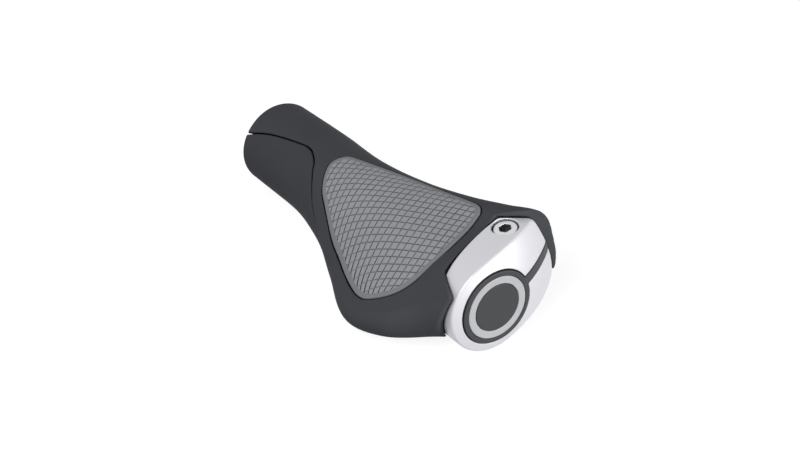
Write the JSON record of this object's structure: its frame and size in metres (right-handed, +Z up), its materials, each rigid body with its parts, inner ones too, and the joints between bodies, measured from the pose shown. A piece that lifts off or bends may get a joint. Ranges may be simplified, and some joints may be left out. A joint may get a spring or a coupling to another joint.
{
  "type": "handlebar grip",
  "caption": "Ergonomic lock-on grip for a flat bar: rubber tube with a palm wing and textured pad, slotted inner sleeve, screw clamp and end plug.",
  "frame": {"origin": "centre of the bar bore at the grip's inboard face", "axes": "+X along the bar towards the end plug, +Y forwards away from the rider, +Z up; the palm wing reaches to -Y"},
  "size_m": [0.135, 0.0692, 0.0412],
  "materials": {
    "sleeve_nylon": "moulded glass-filled nylon, satin",
    "body_rubber": "moulded rubber, matt, fine spark-eroded grain",
    "panel_rubber": "moulded soft rubber, matt",
    "pad_rubber": "moulded grey elastomer with raised tiles",
    "clamp_aluminium": "bead-blasted and silver anodised",
    "screw_steel": "stainless socket screw, turned",
    "plug_plastic": "moulded plastic, satin",
    "ring_plastic": "light grey inlay, satin"
  },
  "bodies": {
    "root": {"inner_sleeve": "sleeve_nylon", "grip_body": "body_rubber", "finger_panel": "panel_rubber", "palm_pad": "pad_rubber", "bar_clamp": "clamp_aluminium", "clamp_screw": "screw_steel", "end_plug": "plug_plastic", "plug_ring": "ring_plastic"}
  },
  "joints": []
}
